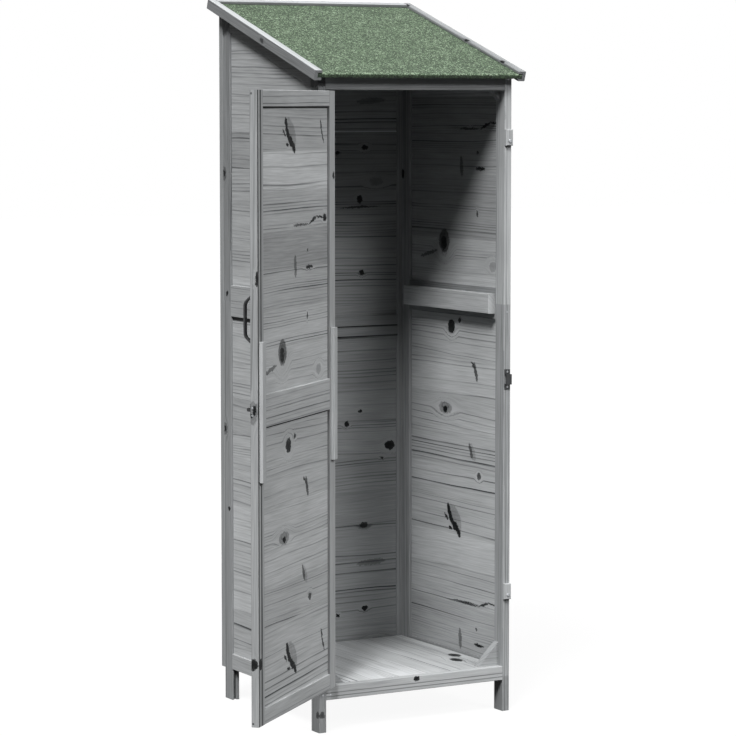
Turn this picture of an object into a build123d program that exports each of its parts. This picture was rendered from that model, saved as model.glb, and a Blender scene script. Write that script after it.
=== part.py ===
from build123d import *

import os
from math import ceil, cos, floor, radians, sin, tan

# Tall single-door garden shed with a mono-pitch roof, all sizes in millimetres.
# Across is measured from the middle of the shed, depth from its front, height from the ground.
# The part's origin is the middle of the front left leg's sole, with +Z up and the front towards -Y.

# Carcass
shed_width = 550
side_depth = 504
leg_height = 80
front_height = 1603
roof_slope = 18.2
seam_height = 1033
back_seam_height = 950

# Frame timber: grooved bars that hold the wall boards
frame_thickness = 20
post_depth = 40
side_rail_height = 40
back_stile_width = 33
back_rail_height = 28
edge_ease = 1
groove_setback = 5
groove_depth = 9
groove_play = 0.2

# Boards, laid in courses: one joint lies at each course height and the others a board width apart
board_thickness = 7
board_width = 91
board_gap = 0.4
board_lap = 6
lap_play = 0.2
board_end_play = 0.6
narrowest_board = 15
lower_course_height = 239
upper_course_height = 1462
door_course_height = 1243

# Front frame, gussets and joiner battens
front_rail_thickness = 20
bottom_rail_height = 35
top_rail_height = 36
gusset_leg = 60
gusset_thickness = 20
batten_height = 50
batten_thickness = 20
batten_end_gap = 3

# Floor
floor_board_thickness = 10
floor_side_gap = 0.8
bearer_width = 40
bearer_count = 3

# Roof
roof_front_overhang = 24
roof_back_gap = 0.4
roof_side_overhang = 24
barge_width = 20
barge_height = 25
barge_lip = 6
barge_groove_depth = 11
deck_thickness = 10
felt_thickness = 2
felt_play = 0.5

# Door, drawn closed in its own frame and then turned open about its hinge axis
open_angle = 139.5
door_thickness = 18
door_setback = 0.5
door_side_gap = 3
door_end_gap = 2
door_stile_width = 38
door_rail_height = 37.5
door_seam_height = 838
door_batten_length = 320
door_batten_width = 22
door_batten_thickness = 9

# Butt hinges
hinge_reach = 3
hinge_height = 60
hinge_inset = 180
middle_hinge_height = 960
leaf_thickness = 1.2
leaf_depth = 18
barrel_radius = 2.5
knuckle_gap = 0.3
hinge_pin_radius = 1.2
hinge_pin_play = 0.06
pin_head_thickness = 1

# Bow handle
handle_height = 128
handle_middle_height = 1048
handle_inset = 22
handle_projection = 23
handle_width = 12
handle_strap = 5
handle_rise = 26
handle_bend_radius = 16
handle_foot_height = 16
handle_foot_thickness = 2.5

# Sliding bolt and its keeper
bolt_height = 845
bolt_radius = 2.5
bolt_play = 0.08
bolt_axis_reach = 5.5
bolt_travel = 25
bolt_case_length = 62
bolt_case_wall = 2
bolt_case_inset = 3
bolt_plate_height = 26
bolt_plate_thickness = 1.5
bolt_knob_stem_radius = 1.6
bolt_knob_stem_length = 9
bolt_knob_radius = 3.5
bolt_knob_length = 6
bolt_slot_play = 0.4
keeper_width = 16
keeper_height = 50
keeper_ear_height = 12
keeper_thickness = 1.5
keeper_clearance = 0.8

# Turn buttons
button_width = 20
button_length = 40
button_thickness = 8
button_pivot_rise = 12
button_gap = 0.3
button_ease = 1.5
upper_button_pivot_height = 1442
lower_button_pivot_height = 299
pivot_screw_radius = 2
pivot_screw_depth = 15
pivot_screw_play = 0.06
pivot_head_radius = 4
pivot_head_thickness = 2.5

# Worked out from the sizes above
half_width = shed_width / 2
clear_width = shed_width - 2 * frame_thickness
panel_depth = side_depth - 2 * post_depth
groove_width = board_thickness + 2 * groove_play
board_line = groove_setback + groove_width / 2
floor_top = leg_height + bottom_rail_height
doorway_top = front_height - top_rail_height
bearer_height = bottom_rail_height - floor_board_thickness
rake = tan(radians(roof_slope))
back_inner_top = front_height + side_depth * rake
timber_over_roof = back_inner_top + barge_height
roof_half_width = half_width + roof_side_overhang
roof_end = (side_depth + frame_thickness) / cos(radians(roof_slope)) + roof_back_gap + barge_width
roof_length = roof_end + roof_front_overhang
deck_half_width = roof_half_width - barge_width + barge_groove_depth - board_end_play
deck_start = felt_thickness - roof_front_overhang
deck_end = roof_end - barge_width + barge_groove_depth - board_end_play
barge_groove_height = deck_thickness + felt_thickness + felt_play
door_width = clear_width - 2 * door_side_gap
door_bottom = floor_top + door_end_gap
door_top = doorway_top - door_end_gap
door_near = door_side_gap / 2
door_far = door_near + door_width
door_outer = hinge_reach + door_setback
door_inner = door_outer + door_thickness
pin_hole_radius = hinge_pin_radius + hinge_pin_play

# Frames to draw in: the shed, its sloping roof, the hinge side's jamb, and the door turned open
shed = Plane(origin=(half_width - frame_thickness / 2, -post_depth / 2, 0))
roof = Plane(
    origin=shed.from_local_coords((0, 0, front_height)),
    x_dir=(1, 0, 0),
    z_dir=(0, -sin(radians(roof_slope)), cos(radians(roof_slope))),
)
jamb = Plane(origin=shed.from_local_coords((door_near - clear_width / 2, -hinge_reach, 0)))
door = jamb.rotated((0, 0, -open_angle))


def level(frame, height):
    """Plane seen from above: across and depth, extruding upwards."""
    return frame.offset(height)


def facing(frame, depth):
    """Plane seen from the front: across and height, extruding towards the front."""
    return Plane(
        origin=frame.from_local_coords((0, depth, 0)),
        x_dir=frame.x_dir,
        z_dir=-frame.y_dir,
    )


def lengthwise(frame, across):
    """Plane seen from the right: depth and height, extruding to the right."""
    return Plane(
        origin=frame.from_local_coords((across, 0, 0)),
        x_dir=frame.y_dir,
        z_dir=frame.x_dir,
    )


def save(builder, name):
    builder.part.label = name
    export_step(builder.part, f"parts/{name}.step")


class EasedSection(BaseSketchObject):
    """Section of a planed bar or board with its corners eased."""

    def __init__(self, width, height, ease, rotation=0, align=None, mode=Mode.ADD):
        with BuildSketch() as section:
            Rectangle(width, height)
            chamfer(section.vertices(), ease)
        super().__init__(section.sketch, rotation, align, mode)


class GroovedSection(BaseSketchObject):
    """Section of a frame bar: outer is the side of its outer face, inner the side of its groove."""

    def __init__(self, thickness, width, outer, inner, rotation=0, align=None, mode=Mode.ADD):
        groove_place = (outer * (thickness / 2 - board_line), inner * (width - groove_depth) / 2)
        with BuildSketch() as section:
            EasedSection(thickness, width, edge_ease)
            with Locations(groove_place):
                Rectangle(groove_width, groove_depth, mode=Mode.SUBTRACT)
        super().__init__(section.sketch, rotation, align, mode)


class BoardRow(BaseSketchObject):
    """Sections of boards stacked from low to high, with a joint at course and the end boards ripped to fit.

    Each board's upper edge has a half-thickness lip behind the board above it: outer is the side away from it.
    """

    def __init__(self, low, high, course, thickness, outer, rotation=0, align=None, mode=Mode.ADD):
        first = ceil((low + narrowest_board - course) / board_width)
        last = floor((high - narrowest_board - course) / board_width)
        with BuildSketch() as section:
            with Locations((0, (low + high) / 2)):
                Rectangle(thickness, high - low)
            for index in range(first, last + 1):
                joint = course + index * board_width
                half = outer * (thickness - lap_play) / 4
                with Locations((half, joint - board_gap / 2), (-half, joint + board_lap + board_gap / 2)):
                    Rectangle((thickness + lap_play) / 2, board_gap, mode=Mode.SUBTRACT)
                with Locations((0, joint + board_lap / 2)):
                    Rectangle(lap_play, board_lap + 2 * board_gap, mode=Mode.SUBTRACT)
        super().__init__(section.sketch, rotation, align, mode)


os.makedirs("parts", exist_ok=True)

sides = {"left": -1, "right": 1}
side_board_low = leg_height + side_rail_height - groove_depth
side_board_high = seam_height - side_rail_height + groove_depth - board_end_play
raked_board_low = seam_height + side_rail_height - groove_depth
raked_board_top = roof.offset(groove_depth - board_end_play - side_rail_height)
board_length = panel_depth + 2 * (groove_depth - board_end_play)
board_back_end = side_depth - post_depth + groove_depth - board_end_play
rake_drop = (side_rail_height - groove_depth + board_end_play) / cos(radians(roof_slope))
raked_board_high = front_height + board_back_end * rake - rake_drop


# Side posts, in two halves, with the lower ends as legs
def post(name, side, depth, inner, low, high, pivot_height=None):
    with BuildPart() as bar:
        with BuildSketch(level(shed, low)):
            with Locations((side * (half_width - frame_thickness / 2), depth)):
                GroovedSection(frame_thickness, post_depth, side, inner)
        extrude(amount=high - low)
        if high > seam_height:
            split(bisect_by=roof, keep=Keep.BOTTOM)
        if pivot_height:
            with BuildSketch(facing(shed, 0)):
                with Locations((side * (half_width - frame_thickness / 2), pivot_height)):
                    Circle(pivot_screw_radius + pivot_screw_play)
            extrude(amount=-pivot_screw_depth, mode=Mode.SUBTRACT)
    save(bar, name)


front_depth = post_depth / 2
back_depth = side_depth - post_depth / 2
post("front_left_lower_post", -1, front_depth, 1, 0, seam_height)
post("front_left_upper_post", -1, front_depth, 1, seam_height, timber_over_roof)
post("back_left_lower_post", -1, back_depth, -1, 0, seam_height)
post("back_left_upper_post", -1, back_depth, -1, seam_height, timber_over_roof)
post("front_right_lower_post", 1, front_depth, 1, 0, seam_height, lower_button_pivot_height)
post("front_right_upper_post", 1, front_depth, 1, seam_height, timber_over_roof, upper_button_pivot_height)
post("back_right_lower_post", 1, back_depth, -1, 0, seam_height)
post("back_right_upper_post", 1, back_depth, -1, seam_height, timber_over_roof)

# Side rails, boards and joiner battens
for hand, side in sides.items():
    rail_across = side * (half_width - frame_thickness / 2)
    board_across = side * (half_width - board_line)

    with BuildPart() as lower_rails:
        with BuildSketch(facing(shed, side_depth - post_depth)):
            with Locations((rail_across, leg_height + side_rail_height / 2)):
                GroovedSection(frame_thickness, side_rail_height, side, 1)
            with Locations((rail_across, seam_height - side_rail_height / 2)):
                GroovedSection(frame_thickness, side_rail_height, side, -1)
        extrude(amount=panel_depth)
    save(lower_rails, f"{hand}_lower_rails")

    with BuildPart() as upper_rails:
        with BuildSketch(facing(roof, roof_end)):
            with Locations((rail_across, -side_rail_height / 2)):
                GroovedSection(frame_thickness, side_rail_height, side, -1)
        extrude(amount=roof_length)
        split(bisect_by=facing(shed, post_depth), keep=Keep.BOTTOM)
        split(bisect_by=facing(shed, side_depth - post_depth), keep=Keep.TOP)
        with BuildSketch(facing(shed, side_depth - post_depth)):
            with Locations((rail_across, seam_height + side_rail_height / 2)):
                GroovedSection(frame_thickness, side_rail_height, side, 1)
        extrude(amount=panel_depth)
    save(upper_rails, f"{hand}_upper_rails")

    with BuildPart() as lower_boards:
        with BuildSketch(facing(shed, board_back_end)):
            with Locations((board_across, 0)):
                BoardRow(side_board_low, side_board_high, lower_course_height, board_thickness, side)
        extrude(amount=board_length)
    save(lower_boards, f"{hand}_lower_boards")

    with BuildPart() as upper_boards:
        with BuildSketch(facing(shed, board_back_end)):
            with Locations((board_across, 0)):
                BoardRow(raked_board_low, raked_board_high, upper_course_height, board_thickness, side)
        extrude(amount=board_length)
        split(bisect_by=raked_board_top, keep=Keep.BOTTOM)
    save(upper_boards, f"{hand}_upper_boards")

    with BuildPart() as batten:
        with BuildSketch(facing(shed, side_depth - post_depth - batten_end_gap)):
            with Locations((side * (clear_width - batten_thickness) / 2, seam_height)):
                EasedSection(batten_thickness, batten_height, edge_ease)
        extrude(amount=panel_depth - 2 * batten_end_gap)
    save(batten, f"{hand}_joiner_batten")

# Back panel, fixed across the back of the side panels
back_depth_middle = side_depth + frame_thickness / 2
back_rail_length = shed_width - 2 * back_stile_width
back_board_depth = side_depth + frame_thickness - board_line
back_board_length = back_rail_length + 2 * (groove_depth - board_end_play)
back_top_rail_low = back_inner_top - back_rail_height
back_top_blank = back_rail_height + frame_thickness


def back_stiles(name, low, high):
    with BuildPart() as stiles:
        with BuildSketch(level(shed, low)):
            for side in sides.values():
                with Locations((side * (half_width - back_stile_width / 2), back_depth_middle)):
                    GroovedSection(frame_thickness, back_stile_width, 1, side, rotation=90)
        extrude(amount=high - low)
        if high > back_inner_top:
            split(bisect_by=roof, keep=Keep.BOTTOM)
    save(stiles, name)


def back_boards(name, low, high, course):
    with BuildPart() as boards:
        with BuildSketch(lengthwise(shed, -back_board_length / 2)):
            with Locations((back_board_depth, 0)):
                BoardRow(low, high, course, board_thickness, 1)
        extrude(amount=back_board_length)
    save(boards, name)


back_stiles("back_lower_stiles", leg_height, back_seam_height)
back_stiles("back_upper_stiles", back_seam_height, timber_over_roof)

with BuildPart() as back_lower_rails:
    with BuildSketch(lengthwise(shed, -back_rail_length / 2)):
        with Locations((back_depth_middle, leg_height + back_rail_height / 2)):
            GroovedSection(frame_thickness, back_rail_height, 1, 1)
        with Locations((back_depth_middle, back_seam_height - back_rail_height / 2)):
            GroovedSection(frame_thickness, back_rail_height, 1, -1)
    extrude(amount=back_rail_length)
save(back_lower_rails, "back_lower_rails")

with BuildPart() as back_upper_rails:
    with BuildSketch(lengthwise(shed, -back_rail_length / 2)):
        with Locations((back_depth_middle, back_seam_height + back_rail_height / 2)):
            GroovedSection(frame_thickness, back_rail_height, 1, 1)
        with Locations((back_depth_middle, back_top_rail_low + back_top_blank / 2)):
            GroovedSection(frame_thickness, back_top_blank, 1, -1)
    extrude(amount=back_rail_length)
    split(bisect_by=roof, keep=Keep.BOTTOM)
save(back_upper_rails, "back_upper_rails")

back_boards(
    "back_lower_boards",
    leg_height + back_rail_height - groove_depth,
    back_seam_height - back_rail_height + groove_depth - board_end_play,
    lower_course_height,
)
back_boards(
    "back_upper_boards",
    back_seam_height + back_rail_height - groove_depth,
    back_top_rail_low + groove_depth - board_end_play,
    upper_course_height,
)

# Front rails between the posts, below and above the doorway
with BuildPart() as front_bottom_rail:
    with BuildSketch(lengthwise(shed, -clear_width / 2)):
        with Locations((front_rail_thickness / 2, leg_height + bottom_rail_height / 2)):
            EasedSection(front_rail_thickness, bottom_rail_height, edge_ease)
    extrude(amount=clear_width)
save(front_bottom_rail, "front_bottom_rail")

with BuildPart() as front_top_rail:
    with BuildSketch(lengthwise(shed, -clear_width / 2)):
        with Locations((front_rail_thickness / 2, (doorway_top + timber_over_roof) / 2)):
            EasedSection(front_rail_thickness, timber_over_roof - doorway_top, edge_ease)
    extrude(amount=clear_width)
    split(bisect_by=roof, keep=Keep.BOTTOM)
save(front_top_rail, "front_top_rail")


# Corner gussets behind the front rails, which the door closes against
def gussets(name, corner_height, upright):
    with BuildPart() as pair:
        with BuildSketch(facing(shed, front_rail_thickness + gusset_thickness)):
            for side in sides.values():
                corner = (side * clear_width / 2, corner_height)
                along = (side * (clear_width / 2 - gusset_leg), corner_height)
                up = (side * clear_width / 2, corner_height + upright * gusset_leg)
                Polygon(corner, along, up, align=None)
        extrude(amount=gusset_thickness)
    save(pair, name)


gussets("bottom_gussets", floor_top, 1)
gussets("top_gussets", front_height, -1)

# Floor boards laid front to back on bearers between the side panels
floor_half = clear_width / 2 - floor_side_gap
with BuildPart() as floor_boards:
    with BuildSketch(facing(shed, side_depth)):
        with Locations((0, floor_top - floor_board_thickness / 2)):
            BoardRow(-floor_half, floor_half, board_width / 2, floor_board_thickness, -1, rotation=-90)
    extrude(amount=side_depth - front_rail_thickness)
save(floor_boards, "floor_boards")

bearer_first = front_rail_thickness + bearer_width / 2
bearer_step = (side_depth - bearer_width / 2 - bearer_first) / (bearer_count - 1)
with BuildPart() as floor_bearers:
    with BuildSketch(lengthwise(shed, -clear_width / 2)):
        for index in range(bearer_count):
            with Locations((bearer_first + index * bearer_step, leg_height + bearer_height / 2)):
                EasedSection(bearer_width, bearer_height, edge_ease)
    extrude(amount=clear_width)
save(floor_bearers, "floor_bearers")


# Roof: grooved barge boards and rear strip round the deck, and felt folded over the front edge
class BargeSection(BaseSketchObject):
    """Barge section standing on the deck's underside: outer is the side of its outer face."""

    def __init__(self, outer, rotation=0, align=None, mode=Mode.ADD):
        inner_edge = -outer * (barge_width - barge_groove_depth) / 2
        with BuildSketch() as section:
            with Locations((0, barge_height / 2 - barge_lip)):
                EasedSection(barge_width, barge_height, edge_ease)
            with Locations((inner_edge, barge_groove_height / 2)):
                Rectangle(barge_groove_depth, barge_groove_height, mode=Mode.SUBTRACT)
        super().__init__(section.sketch, rotation, align, mode)


for hand, side in sides.items():
    with BuildPart() as barge:
        with BuildSketch(facing(roof, roof_end)):
            with Locations((side * (roof_half_width - barge_width / 2), 0)):
                BargeSection(side)
        extrude(amount=roof_length)
    save(barge, f"{hand}_barge_board")

strip_length = 2 * (roof_half_width - barge_width)
with BuildPart() as rear_roof_strip:
    with BuildSketch(lengthwise(roof, -strip_length / 2)):
        with Locations((roof_end - barge_width / 2, 0)):
            BargeSection(1)
    extrude(amount=strip_length)
save(rear_roof_strip, "rear_roof_strip")

with BuildPart() as roof_deck:
    with BuildSketch(lengthwise(roof, -deck_half_width)):
        with Locations((0, deck_thickness / 2)):
            BoardRow(deck_start, deck_end, deck_start + board_width, deck_thickness, -1, rotation=-90)
    extrude(amount=2 * deck_half_width)
save(roof_deck, "roof_deck")

with BuildPart() as roof_felt:
    with BuildSketch(lengthwise(roof, -deck_half_width)):
        with BuildLine():
            Polyline(
                (-roof_front_overhang, 0),
                (-roof_front_overhang, deck_thickness + felt_thickness),
                (deck_end, deck_thickness + felt_thickness),
                (deck_end, deck_thickness),
                (deck_start, deck_thickness),
                (deck_start, 0),
                close=True,
            )
        make_face()
    extrude(amount=2 * deck_half_width)
save(roof_felt, "roof_felt")

# Door frames, in two halves joined by battens on the inner face
door_middle_depth = (door_outer + door_inner) / 2
door_board_depth = door_outer + board_line
door_clear_near = door_near + door_stile_width
door_clear_width = door_width - 2 * door_stile_width
door_board_near = door_clear_near - groove_depth + board_end_play
door_board_length = door_clear_width + 2 * (groove_depth - board_end_play)


def door_stiles(name, low, high):
    with BuildPart() as stiles:
        with BuildSketch(level(door, low)):
            with Locations((door_near + door_stile_width / 2, door_middle_depth)):
                GroovedSection(door_thickness, door_stile_width, -1, -1, rotation=90)
            with Locations((door_far - door_stile_width / 2, door_middle_depth)):
                GroovedSection(door_thickness, door_stile_width, -1, 1, rotation=90)
        extrude(amount=high - low)
    save(stiles, name)


def door_rails(name, low, high):
    with BuildPart() as rails:
        with BuildSketch(lengthwise(door, door_clear_near)):
            with Locations((door_middle_depth, low + door_rail_height / 2)):
                GroovedSection(door_thickness, door_rail_height, -1, 1)
            with Locations((door_middle_depth, high - door_rail_height / 2)):
                GroovedSection(door_thickness, door_rail_height, -1, -1)
        extrude(amount=door_clear_width)
    save(rails, name)


def door_boards(name, low, high):
    board_low = low + door_rail_height - groove_depth
    board_high = high - door_rail_height + groove_depth - board_end_play
    with BuildPart() as boards:
        with BuildSketch(lengthwise(door, door_board_near)):
            with Locations((door_board_depth, 0)):
                BoardRow(board_low, board_high, door_course_height, board_thickness, -1)
        extrude(amount=door_board_length)
    save(boards, name)


for half, low, high in [
    ("lower", door_bottom, door_seam_height),
    ("upper", door_seam_height, door_top),
]:
    door_stiles(f"door_{half}_stiles", low, high)
    door_rails(f"door_{half}_rails", low, high)
    door_boards(f"door_{half}_boards", low, high)

with BuildPart() as door_joiner_battens:
    with BuildSketch(level(door, door_seam_height - door_batten_length / 2)):
        for across in (door_near + door_stile_width / 2, door_far - door_stile_width / 2):
            with Locations((across, door_inner + door_batten_thickness / 2)):
                EasedSection(door_batten_width, door_batten_thickness, edge_ease)
    extrude(amount=door_batten_length)
save(door_joiner_battens, "door_joiner_battens")

# Butt hinges: the post leaf has the end knuckles and the pin, the door leaf the middle knuckle
hinge_middles = [door_bottom + hinge_inset, middle_hinge_height, door_top - hinge_inset]
knuckle_height = (hinge_height - 2 * knuckle_gap) / 3
knuckle_step = knuckle_height + knuckle_gap
end_knuckles = (-1, 1)
middle_knuckle = (0,)


def hinge_leaves(name, frame, leaf_side, knuckles):
    plate_across = leaf_side * (door_near - leaf_thickness / 2)
    plate_start = barrel_radius + knuckle_gap
    with BuildPart() as leaves:
        for middle in hinge_middles:
            with BuildSketch(level(frame, middle - hinge_height / 2)):
                with Locations((plate_across, (plate_start + leaf_depth) / 2)):
                    Rectangle(leaf_thickness, leaf_depth - plate_start)
            extrude(amount=hinge_height)
            for knuckle in knuckles:
                knuckle_low = middle + knuckle * knuckle_step - knuckle_height / 2
                with BuildSketch(level(frame, knuckle_low)):
                    Circle(barrel_radius)
                    with Locations((plate_across, leaf_depth / 2)):
                        Rectangle(leaf_thickness, leaf_depth)
                    Circle(pin_hole_radius, mode=Mode.SUBTRACT)
                extrude(amount=knuckle_height)
    save(leaves, name)


hinge_leaves("hinge_post_leaves", jamb, -1, end_knuckles)
hinge_leaves("hinge_door_leaves", door, 1, middle_knuckle)

with BuildPart() as hinge_pins:
    for middle in hinge_middles:
        with BuildSketch(level(jamb, middle - hinge_height / 2)):
            Circle(hinge_pin_radius)
        extrude(amount=hinge_height)
        for head_low in (middle - hinge_height / 2 - pin_head_thickness, middle + hinge_height / 2):
            with BuildSketch(level(jamb, head_low)):
                Circle(barrel_radius)
            extrude(amount=pin_head_thickness)
save(hinge_pins, "hinge_pins")

# Bow handle on the outer face, a bent strap with a foot at each end
handle_across = door_far - handle_inset
handle_low = handle_middle_height - handle_height / 2
handle_high = handle_middle_height + handle_height / 2
grip_depth = door_outer - handle_projection + handle_strap / 2
strap_root = door_outer - handle_foot_thickness / 2
with BuildPart() as door_handle:
    with BuildLine(lengthwise(door, handle_across)) as bow:
        FilletPolyline(
            (strap_root, handle_low + handle_foot_height / 2),
            (grip_depth, handle_low + handle_rise),
            (grip_depth, handle_high - handle_rise),
            (strap_root, handle_high - handle_foot_height / 2),
            radius=handle_bend_radius,
        )
    with BuildSketch(Plane(origin=bow.line @ 0, x_dir=door.x_dir, z_dir=bow.line % 0)):
        EasedSection(handle_width, handle_strap, edge_ease)
    sweep(path=bow.line)
    split(bisect_by=facing(door, door_outer), keep=Keep.TOP)
    with BuildSketch(facing(door, door_outer)):
        for foot_low in (handle_low, handle_high - handle_foot_height):
            with Locations((handle_across, foot_low + handle_foot_height / 2)):
                EasedSection(handle_width, handle_foot_height, edge_ease)
    extrude(amount=handle_foot_thickness)
save(door_handle, "door_handle")

# Sliding bolt in its case on the door's outer face
case_near = door_far - bolt_case_inset - bolt_case_length
case_far = door_far - bolt_case_inset
bolt_axis_depth = door_outer - bolt_axis_reach
case_radius = bolt_radius + bolt_play + bolt_case_wall
slot_width = 2 * (bolt_knob_stem_radius + bolt_slot_play)
knob_across = case_near + (bolt_case_length - bolt_travel) / 2
slot_middle = knob_across + bolt_travel / 2
with BuildPart() as bolt_case:
    with BuildSketch(lengthwise(door, case_near)):
        with Locations((door_outer - bolt_plate_thickness / 2, bolt_height)):
            Rectangle(bolt_plate_thickness, bolt_plate_height)
        with Locations((bolt_axis_depth, bolt_height)):
            Circle(case_radius)
        with Locations(((bolt_axis_depth + door_outer) / 2, bolt_height)):
            Rectangle(bolt_axis_reach, 2 * case_radius)
        with Locations((bolt_axis_depth, bolt_height)):
            Circle(bolt_radius + bolt_play, mode=Mode.SUBTRACT)
    extrude(amount=bolt_case_length)
    with BuildSketch(facing(door, bolt_axis_depth)):
        with Locations((slot_middle, bolt_height)):
            Rectangle(bolt_travel + slot_width, slot_width)
    extrude(amount=2 * case_radius, mode=Mode.SUBTRACT)
save(bolt_case, "bolt_case")

with BuildPart() as bolt_rod:
    with BuildSketch(lengthwise(door, case_near)):
        with Locations((bolt_axis_depth, bolt_height)):
            Circle(bolt_radius)
    extrude(amount=bolt_case_length)
    with BuildSketch(facing(door, bolt_axis_depth)):
        with Locations((knob_across, bolt_height)):
            Circle(bolt_knob_stem_radius)
    extrude(amount=bolt_knob_stem_length)
    with BuildSketch(facing(door, bolt_axis_depth - bolt_knob_stem_length)):
        with Locations((knob_across, bolt_height)):
            Circle(bolt_knob_radius)
    extrude(amount=bolt_knob_length)
    chamfer(bolt_rod.faces().sort_by(Axis(door.origin, -door.y_dir))[-1].edges(), edge_ease)
save(bolt_rod, "bolt_rod")

# Keeper on the right front post, a strap bridged clear of the bolt
bridge_depth = hinge_reach + bolt_axis_reach - door_outer + bolt_radius + keeper_clearance
bridge_half = keeper_height / 2 - keeper_ear_height
with BuildPart() as bolt_keeper:
    with BuildSketch(lengthwise(shed, half_width - (frame_thickness + keeper_width) / 2)):
        with BuildLine():
            Polyline(
                (0, bolt_height - keeper_height / 2),
                (0, bolt_height - bridge_half + keeper_thickness),
                (-bridge_depth, bolt_height - bridge_half + keeper_thickness),
                (-bridge_depth, bolt_height + bridge_half - keeper_thickness),
                (0, bolt_height + bridge_half - keeper_thickness),
                (0, bolt_height + keeper_height / 2),
                (-keeper_thickness, bolt_height + keeper_height / 2),
                (-keeper_thickness, bolt_height + bridge_half),
                (-bridge_depth - keeper_thickness, bolt_height + bridge_half),
                (-bridge_depth - keeper_thickness, bolt_height - bridge_half),
                (-keeper_thickness, bolt_height - bridge_half),
                (-keeper_thickness, bolt_height - keeper_height / 2),
                close=True,
            )
        make_face()
    extrude(amount=keeper_width)
save(bolt_keeper, "bolt_keeper")

# Turn buttons on the right front post, each on its pivot screw
button_across = half_width - frame_thickness / 2
pivots = {"upper": upper_button_pivot_height, "lower": lower_button_pivot_height}
for half, pivot_height in pivots.items():
    with BuildPart() as button:
        with BuildSketch(facing(shed, -button_gap)):
            with Locations((button_across, pivot_height - button_pivot_rise + button_length / 2)):
                Rectangle(button_width, button_length)
        extrude(amount=button_thickness)
        chamfer(button.faces().sort_by(Axis.Y)[0].edges(), button_ease)
        with BuildSketch(facing(shed, 0)):
            with Locations((button_across, pivot_height)):
                Circle(pivot_screw_radius + pivot_screw_play)
        extrude(amount=button_thickness + button_gap, mode=Mode.SUBTRACT)
    save(button, f"{half}_turn_button")

head_depth = -2 * button_gap - button_thickness
with BuildPart() as turn_button_screws:
    for pivot_height in pivots.values():
        with BuildSketch(facing(shed, pivot_screw_depth)):
            with Locations((button_across, pivot_height)):
                Circle(pivot_screw_radius)
        extrude(amount=pivot_screw_depth - head_depth)
        with BuildSketch(facing(shed, head_depth)):
            with Locations((button_across, pivot_height)):
                Circle(pivot_head_radius)
        extrude(amount=pivot_head_thickness)
    fillet(turn_button_screws.faces().group_by(Axis.Y)[0].edges(), pivot_head_thickness / 2)
save(turn_button_screws, "turn_button_screws")
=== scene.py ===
# %% [markdown]
# # A tall garden shed with its door open
# The shed is a flat-pack of grey-stained fir: grooved frames, thin boards, a felted lean-to roof and a
# little ironmongery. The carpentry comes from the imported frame, where every bar and board is a solid of
# its own. This lesson gives each of them its finish, lays the mineral felt on the roof and drives the
# wood screws, under a plain studio light.

# %% Load the frame
from math import cos, floor, pi, radians, sin

import bmesh
import bpy
from mathutils import Euler, Matrix, Vector


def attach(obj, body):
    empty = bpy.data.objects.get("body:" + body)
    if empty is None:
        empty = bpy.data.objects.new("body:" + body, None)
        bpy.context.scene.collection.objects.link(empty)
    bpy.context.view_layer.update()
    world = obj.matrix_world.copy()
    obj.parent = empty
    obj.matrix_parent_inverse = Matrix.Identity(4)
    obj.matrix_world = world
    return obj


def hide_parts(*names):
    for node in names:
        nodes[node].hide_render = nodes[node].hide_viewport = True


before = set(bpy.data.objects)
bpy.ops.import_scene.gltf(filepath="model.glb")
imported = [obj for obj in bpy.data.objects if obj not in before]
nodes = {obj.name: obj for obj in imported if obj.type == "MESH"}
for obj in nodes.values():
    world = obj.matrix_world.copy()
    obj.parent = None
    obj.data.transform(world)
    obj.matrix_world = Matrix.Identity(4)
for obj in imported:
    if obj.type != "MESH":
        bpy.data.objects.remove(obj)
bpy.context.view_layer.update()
print("pieces in the frame:", len(nodes))

# %% [markdown]
# ## Camera
# The picture was taken from the left of the shed's front, a little above its middle, with a long lens that
# keeps the uprights nearly parallel. The place, turn and lens were fitted to the shed's corners, so the
# camera is set by those few numbers and not by eye.

# %% Camera
camera_place = (-3.385, -6.142, 1.531)
camera_turn = 29.844
camera_dip = 5.178
camera_data = bpy.data.cameras.new("camera")
camera_data.lens = 141.98
camera_data.sensor_width = 36
camera = bpy.data.objects.new("camera", camera_data)
camera.location = camera_place
camera.rotation_euler = (radians(90 - camera_dip), 0, radians(-camera_turn))
bpy.context.collection.objects.link(camera)
bpy.context.scene.camera = camera
bpy.context.scene.view_settings.view_transform = "Standard"
print("camera at", camera_place)

# %% [markdown]
# ## Colours and nodes
# A finish is written as sRGB hex values, the way a paint card gives them, and one function turns them into
# the linear light that shaders count in. A second function adds a node, sets it up and wires it, so that
# each material below reads as a list of steps.


# %% Helpers for colours and nodes
def paint(code):
    """Linear colour of an sRGB hex value."""
    parts = [int(code[place:place + 2], 16) / 255 for place in (0, 2, 4)]
    return [part / 12.92 if part < 0.04045 else ((part + 0.055) / 1.055) ** 2.4 for part in parts] + [1]


def add(tree, kind, inputs=(), **settings):
    """Adds a node. Inputs are a list by place or a dict by name or place: a socket is linked, a value set."""
    node = tree.nodes.new("ShaderNode" + kind)
    for name, value in settings.items():
        setattr(node, name, value)
    for place, value in inputs.items() if isinstance(inputs, dict) else enumerate(inputs):
        if isinstance(value, bpy.types.NodeSocket):
            tree.links.new(value, node.inputs[place])
        else:
            node.inputs[place].default_value = value
    return node.outputs


def blank_material(name):
    """A new material and its empty node tree."""
    material = bpy.data.materials.new(name)
    material.use_nodes = True
    material.node_tree.nodes.clear()
    return material, material.node_tree


print("white paper as linear light:", [round(part, 3) for part in paint("F2F2F2")])

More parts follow.
